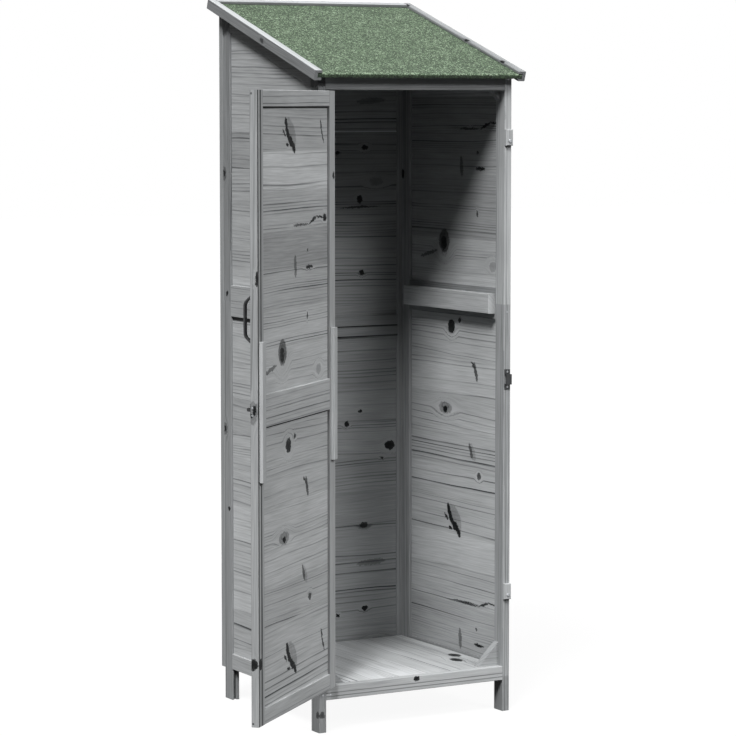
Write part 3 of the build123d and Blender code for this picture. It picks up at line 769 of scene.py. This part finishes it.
# %% Knots, painted shade, painted highlights and streaks of the bars
# Along, across, half length, half width, tilt, depth. A tilt of 1 marks a patch that is no knot: a darker
# foot, or painted shadow under the eaves
knots_and_shade_of_bars = {
    "front_left_foot": [(44, -22, 9, 7, 0, 0.55)],
    # The top of this post is darkened as painted shadow under the eaves
    "front_left_top": [(1594, 0, 20, 60, 1, 0.6)],
    "front_right_foot": [(569, 490, 8, 6, 0, 0.85), (30, 510, 60, 60, 1, 0.16)],
    "front_right_top": [(1506, 491, 14, 5, 0, 0.95)],
    "back_left_foot": [(702, 470, 8, 8, 0, 0.95), (702, 470, 16, 14, 0, 0.35), (497, 447, 6, 6, 0, 0.97)],
    "back_left_top": [
        (1357, 470, 9, 8, 0, 0.97),
        (1357, 470, 19, 13, 0, 0.4),
        (1051, 455, 7, 6, 0, 0.97),
        # Painted shadow under the eaves at the post's top
        (1765, 484, 60, 60, 1, 0.6),
    ],
    "back_right_foot": [(700, 1011, 10, 8, 0, 0.95)],
    "back_right_top": [(1350, 1001, 12, 8, 0, 0.95)],
    "back_stiles": [(1180, 520, 10, 8, 0, 0.8)],
    "joiner_battens": [(150, 1575, 7, 5, 0, 0.6), (330, 1570, 5, 4, 0, 0.7)],
    "front_bottom_rail": [(267, 89, 8, 6, 0, 0.98)],
    "left_barge": [(261, -294, 10, 6, 0, 0.5)],
    "right_barge": [(555, 300, 10, 7, 0, 0.95), (240, 300, 9, 6, 0, 0.9), (60, 300, 9, 6, 0, 0.9)],
    "door_stiles": [
        (1140, 527, 16, 5, 0, 0.97),
        (844, 519, 12, 5, 0, 0.95),
        (830, 511, 5, 4, 0, 0.97),
        (838, 515, 26, 11, 0, 0.25),
        (844, 521, 9, 3, 0, 0.9),
        (261, 515, 13, 9, 0, 0.97),
        (1362, 34, 9, 7, 0, 0.85),
    ],
}
# How much paler a painted highlight of the light from above makes the faces that look up
painted_top_highlights = {"left_barge": 0.95, "right_barge": 0.2, "rear_strip": 0.85}
# Middle and half width across the bar, and shade: shadowed grooves, rounded edges and joints
dark_streaks = {
    "door_stiles": [(500, 5, 0.6), (484, 6, 0.6), (508, 6, 0.1), (39.4, 1.2, 0.35)],
    "front_right_foot": [(519, 1.2, 0.18), (526.5, 1.2, 0.3)],
    "front_right_top": [(519, 1.2, 0.18), (526.5, 1.2, 0.3)],
    "front_bottom_rail": [(97.5, 2, 0.3), (88.5, 2, 0.3)],
    "rails": [(950, 2.2, 0.97), (923, 2.0, 0.9)],
}
print("bars with knots or stains:", len(knots_and_shade_of_bars))

# %% Frame timber
bar_line = "4A4D4F"
bar_spacing, bar_sway, first_bar_seed = 7.0, 9.0, 101
for number, (name, (place, grain, stain, pieces)) in enumerate(bars.items()):
    bar_fir = stained_fir(
        fir_name + name,
        place,
        grain,
        knots_and_shade_of_bars.get(name, ()),
        light=stain,
        line=bar_line,
        spacing=bar_spacing,
        sway=bar_sway,
        seed=first_bar_seed + number,
        top_highlight_share=painted_top_highlights.get(name, 0.0),
        streaks=dark_streaks.get(name, ()),
    )
    dress(bar_fir, *pieces)

# %% [markdown]
# ## Ironmongery
# The handle, the bolt and its keeper are powder-coated black: a plastic skin baked on steel, slightly rough
# like fine orange peel. The hinges and screws are zinc-plated steel, grey with a dull shine and a faint
# cloudiness where the plating took unevenly. One plain colour would do for such small things, but then the
# light would lie on them as on new plastic, so each has a little unevenness in its gloss.

# %% Black powder coat
# In metres: orange peel is about half a millimetre across, and hands rub it in larger patches
peel_size, rub_size = 0.0006, 0.012
peel_height = 0.0001
rub_span = (0.3, 0.7)
coat_roughness = (0.38, 0.55)
new_black, rubbed_black = "131415", "26282A"
black_coat, tree = blank_material("black_powder_coat")
place = add(tree, "TexCoord")["Object"]
peel = add(tree, "TexNoise", {"Vector": place, "Scale": 1 / peel_size, "Detail": 1.0})[0]
rub = add(tree, "TexNoise", {"Vector": place, "Scale": 1 / rub_size, "Detail": 3.0})[0]
coat = add(tree, "Mix", {0: rub, 6: paint(new_black), 7: paint(rubbed_black)}, data_type="RGBA")[2]
gloss = add(tree, "MapRange", [rub, *rub_span, *coat_roughness])[0]
relief = add(tree, "Bump", {"Strength": 0.3, "Distance": peel_height, "Height": peel})[0]
shader = add(tree, "BsdfPrincipled", {"Base Color": coat, "Roughness": gloss, "Normal": relief})[0]
add(tree, "OutputMaterial", {"Surface": shader})
dress(black_coat, "door_handle", "bolt_case", "bolt_rod", "bolt_keeper")

# %% Zinc plate
# The cloudy spangle of the plating is about 6 mm across, here in metres
spangle_size = 0.006
spangle_span = (0.3, 0.7)
zinc_roughness = (0.28, 0.45)
dull_zinc, bright_zinc = "9A9DA0", "B6B9BC"
zinc_plate, tree = blank_material("zinc_plated_steel")
place = add(tree, "TexCoord")["Object"]
spangle = add(tree, "TexNoise", {"Vector": place, "Scale": 1 / spangle_size, "Detail": 4.0})[0]
plate = add(tree, "Mix", {0: spangle, 6: paint(dull_zinc), 7: paint(bright_zinc)}, data_type="RGBA")[2]
gloss = add(tree, "MapRange", [spangle, *spangle_span, *zinc_roughness])[0]
shader = add(tree, "BsdfPrincipled", {"Base Color": plate, "Metallic": 1.0, "Roughness": gloss})[0]
add(tree, "OutputMaterial", {"Surface": shader})
dress(zinc_plate, "hinge_post_leaves", "hinge_door_leaves", "hinge_pins", "turn_button_screws")

# %% [markdown]
# ## Mineral felt
# The roof covering is bitumen felt rolled in crushed green slate: a stiff sheet 2 mm thick that lies flat on
# the deck, runs under the barge boards at both sides and folds down over the front edge. A flat face with a
# speckled finish would do from afar, but the fold has a soft bend, the grit stands up, and the cut hem is
# never quite straight. So the sheet starts as a fine grid at its real size, its front row is extruded round
# the bend and down, the hem's points are shaken a little, and then it gets its thickness and its grit.


# %% Helpers for modelling
def pick(kind, test):
    """Selects the verts or faces of the piece in edit mode that pass a test, and nothing else."""
    bpy.ops.mesh.select_all(action="DESELECT")
    bpy.ops.mesh.select_mode(type={"verts": "VERT", "faces": "FACE"}[kind])
    mesh = bmesh.from_edit_mesh(bpy.context.object.data)
    for element in getattr(mesh, kind):
        element.select_set(test(element))
    mesh.select_flush_mode()
    bmesh.update_edit_mesh(bpy.context.object.data)


def finish_with(piece, kind, **settings):
    """Adds a modifier and applies it."""
    modifier = piece.modifiers.new(kind.lower(), kind)
    for name, value in settings.items():
        setattr(modifier, name, value)
    bpy.ops.object.modifier_apply(modifier=modifier.name)


# %% Felt sheet, folded over the front edge
# In metres on the roof's slope, from the top of the walls' front edge
felt_half_width, felt_front, felt_back = 0.2894, -0.024, 0.5624
felt_top, felt_thickness = 0.012, 0.002
fold_radius, fold_steps, hem_steps = 0.005, 4, 3
grid_count = 160
hem_shake, hem_seed = 0.0011, 7
# A point belongs to the front row if it lies this close to the bend
row_reach = 0.0007
bend_start = felt_front + fold_radius
hem_drop = (fold_radius - felt_top) / hem_steps
# A grid of size 2 reaches from -1 to 1, so that scaling it by half sizes makes it the sheet
bpy.ops.object.select_all(action="DESELECT")
bpy.ops.mesh.primitive_grid_add(x_subdivisions=grid_count, y_subdivisions=grid_count, size=2)
felt = bpy.context.object
felt.name = "mineral_felt_sheet"
bpy.ops.object.mode_set(mode="EDIT")
bpy.ops.transform.resize(value=(felt_half_width, (felt_back - bend_start) / 2, 1))
bpy.ops.transform.translate(value=(0, (felt_back + bend_start) / 2, felt_top))
pick("verts", lambda point: point.co.y < bend_start + row_reach)
turn = radians(90) / fold_steps
for step in range(fold_steps):
    back = fold_radius * (sin((step + 1) * turn) - sin(step * turn))
    down = fold_radius * (cos(step * turn) - cos((step + 1) * turn))
    bpy.ops.mesh.extrude_region_move(TRANSFORM_OT_translate={"value": (0, -back, -down)})
for step in range(hem_steps):
    bpy.ops.mesh.extrude_region_move(TRANSFORM_OT_translate={"value": (0, 0, hem_drop)})
bpy.ops.transform.vertex_random(offset=hem_shake, seed=hem_seed)
bpy.ops.object.mode_set(mode="OBJECT")
print("felt folded in", fold_steps, "steps, hem in", hem_steps)

# %% Felt sheet, with its thickness and grit
# The grit is raised only on the face, so the underside has a group of its own
grit_height, grit_size = 0.0007, 0.0036
felt.vertex_groups.new(name="underside")
finish_with(felt, "SOLIDIFY", thickness=felt_thickness, offset=-1, shell_vertex_group="underside")
grit = bpy.data.textures.new("crushed_slate", "VORONOI")
grit.noise_scale = grit_size
finish_with(
    felt,
    "DISPLACE",
    texture=grit,
    texture_coords="LOCAL",
    strength=grit_height,
    mid_level=1.0,
    vertex_group="underside",
    invert_vertex_group=True,
)
bpy.ops.object.shade_smooth()
felt.location, felt.rotation_euler = roof_frame[:2]
bpy.ops.object.transform_apply(location=True, rotation=True, scale=True)
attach(felt, "carcass")
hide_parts("roof_felt")
print("felt faces:", len(felt.data.polygons))

# %% [markdown]
# ## Slate on the felt
# Crushed slate on bitumen is matt and dark green from afar, each grain its own shade, in patches where the
# roller pressed harder. It is paler along the fold, and the hem below is darkened as painted shade. An even
# noise would look like moss. A Voronoi texture gives every grain one flat tint, and a ramp from bitumen black
# to pale slate turns it to colour.

# %% Felt finish
# In metres: slate grains are about 1 mm, and they are drawn at 2.6 mm so that the speckle shows
slate_size, patch_size = 0.0026, 0.05
slate_share, patch_share = 0.92, 0.28
# In mm on the roof's slope: how wide the fold is paler, and the heights between which the hem is darkened as
# painted shade
fold_pale_start = 1000 * felt_front
fold_pale_width, fold_pale_tint = 9, 0.3
hem_low, hem_high, hem_darkening = 6.0, 11.0, -0.5
slate_relief, slate_roughness = 0.0006, 0.92
# From bare bitumen through the greens of the slate to its palest grains
bitumen, palest_slate = "101710", "82927C"
slate_greens = [(0.25, "1D291C"), (0.5, "313F2E"), (0.75, "40523C"), (0.9, "576A52")]
mineral_felt, tree = blank_material("green_mineral_felt")
place = add(tree, "TexCoord")["Object"]
slate = add(tree, "TexVoronoi", {"Vector": place, "Scale": 1 / slate_size, "Randomness": 1.0})["Color"]
tint = add(tree, "SeparateColor", [slate])[0]
patch = add(tree, "TexNoise", {"Vector": place, "Scale": 1 / patch_size, "Detail": 3.0})[0]
tint = add(tree, "Math", [tint, slate_share], operation="MULTIPLY")[0]
tint = add(tree, "Math", [patch, patch_share, tint], operation="MULTIPLY_ADD")[0]
local = add(tree, "Mapping", [place, *roof_frame], vector_type="TEXTURE")[0]
from_front, height = add(tree, "SeparateXYZ", [local])[1:]
fold_paler = add(tree, "MapRange", [from_front, fold_pale_start, fold_pale_start + fold_pale_width, fold_pale_tint, 0.0])[0]
# Painted shade on the hem below the fold
hem_painted_shade = add(tree, "MapRange", [height, hem_low, hem_high, hem_darkening, 0.0])[0]
tint = add(tree, "Math", [tint, fold_paler], operation="ADD")[0]
tint = add(tree, "Math", [tint, hem_painted_shade], operation="ADD", use_clamp=True)[0]
speckle = add(tree, "ValToRGB", [tint])["Color"]
stops = speckle.node.color_ramp.elements
stops[0].color = paint(bitumen)
stops[1].color = paint(palest_slate)
for position, code in slate_greens:
    stops.new(position).color = paint(code)
relief = add(tree, "Bump", {"Strength": 0.5, "Distance": slate_relief, "Height": tint})[0]
matt_slate = {"Base Color": speckle, "Roughness": slate_roughness, "Normal": relief}
shader = add(tree, "BsdfPrincipled", matt_slate)[0]
add(tree, "OutputMaterial", {"Surface": shader})
felt.data.materials.append(mineral_felt)
dress(mineral_felt, "roof_felt")

# %% [markdown]
# ## Wood screws
# Small zinc-plated screws with a countersunk head and a cross recess hold the frame, the battens and the
# keeper, and black ones the bolt's plate and the ends of the door. A head could be a dark dot in the wood's
# finish, but it stands a little proud and catches the light. One head is modelled: a short cylinder with
# its rim bevelled and its underside drawn in to a cone, and a cross cut into its top. The rest are copies of
# its mesh, turned to the face they sit in.

# %% One screw head
# In metres
head_radius, head_height, head_ease = 0.0025, 0.0014, 0.0004
head_sides = 20
cone_share = 0.5
# A face looks straight up if its normal rises by more than this
straight = 0.9
bpy.ops.object.select_all(action="DESELECT")
bpy.ops.mesh.primitive_cylinder_add(vertices=head_sides, radius=head_radius, depth=head_height)
screw = bpy.context.object
bpy.ops.object.mode_set(mode="EDIT")
pick("faces", lambda face: face.normal.z < -straight)
bpy.ops.transform.resize(value=(cone_share, cone_share, 1))
pick("faces", lambda face: face.normal.z > straight)
bpy.ops.mesh.bevel(offset=head_ease, segments=2, affect="EDGES")
bpy.ops.object.mode_set(mode="OBJECT")
print("screw head", [round(1000 * size, 2) for size in screw.dimensions], "mm")

# %% Its cross recess
recess_width, recess_arm, recess_depth = 0.0007, 0.0011, 0.0008
bpy.ops.object.select_all(action="DESELECT")
bpy.ops.mesh.primitive_cube_add(size=recess_width)
cross = bpy.context.object
bpy.ops.object.mode_set(mode="EDIT")
pick("faces", lambda face: abs(face.normal.z) < 1 - straight)
bpy.ops.mesh.extrude_faces_move(TRANSFORM_OT_shrink_fatten={"value": recess_arm})
bpy.ops.mesh.select_all(action="SELECT")
bpy.ops.transform.resize(value=(1, 1, 2 * recess_depth / recess_width))
bpy.ops.transform.translate(value=(0, 0, head_height / 2))
bpy.ops.object.mode_set(mode="OBJECT")
print("cross recess", [round(1000 * size, 2) for size in cross.dimensions], "mm")
bpy.context.view_layer.objects.active = screw
finish_with(screw, "BOOLEAN", operation="DIFFERENCE", solver="EXACT", object=cross)
bpy.data.objects.remove(cross)
print("screw head's faces:", len(screw.data.polygons))

# %% Driving screws
head_proud = 0.0004
# No two screws stop at the same turn: each is turned on by this much, in radians
turn_step = 0.7


def drive(name, body, metal, place, outward, spots):
    """Screw heads at spots of a frame, in mm, on the face that looks outward; joined into one piece."""
    turned = Matrix.LocRotScale(Vector(place[0]), Euler(place[1]), None)
    facing = Vector(outward).to_track_quat("Z", "Y").to_matrix().to_4x4()
    sink = Matrix.Translation((0, 0, head_proud - head_height / 2))
    bpy.ops.object.select_all(action="DESELECT")
    for count, spot in enumerate(spots):
        head = bpy.data.objects.new(name, screw.data.copy())
        spin = Matrix.Rotation(count * turn_step, 4, "Z")
        head.data.transform(turned @ Matrix.Translation(Vector(spot) / 1000) @ facing @ spin @ sink)
        bpy.context.collection.objects.link(head)
        head.select_set(True)
        bpy.context.view_layer.objects.active = head
    bpy.ops.object.join()
    heads = bpy.context.object
    heads.name = name
    heads.data.materials.append(metal)
    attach(heads, body)
    print(name, len(spots), "screws")


# %% Screws of the frame and the keeper
front = (0, -1, 0)
post_face, keeper_face = -20, -21.5
foot_places = [(1, 93), (22, 92), (504, 91), (529, 92)]
post_places = [(531, 1049), (529, 1014), (530, 1595), (1, 1049), (1, 1014)]
front_screws = [(across, post_face, height) for across, height in foot_places + post_places]
drive("frame_screws", "carcass", zinc_plate, shed_frame, front, front_screws)
keeper_screws = [(530, keeper_face, height) for height in (826, 864)]
drive("keeper_screws", "carcass", zinc_plate, shed_frame, front, keeper_screws)

# %% Screws of the door
inward, to_edge = (0, 1, 0), (1, 0, 0)
batten_face, edge_face, plate_face = 30.5, 505.5, 2
edge_middle = 8
batten_screws = [(across, batten_face, height) for across in (20, 486) for height in (700, 810, 866, 976)]
drive("batten_screws", "door", zinc_plate, door_frame, inward, batten_screws)
edge_screws = [(edge_face, edge_middle, height) for height in (849, 832)]
drive("door_edge_screws", "door", zinc_plate, door_frame, to_edge, edge_screws)
end_screws = [(edge_face, edge_middle, height) for height in (1557, 125)]
drive("door_end_screws", "door", black_coat, door_frame, to_edge, end_screws)
plate_screws = [(across, plate_face, height) for across in (446.5, 496.5) for height in (836, 854)]
drive("bolt_plate_screws", "door", black_coat, door_frame, front, plate_screws)
bpy.data.objects.remove(screw)
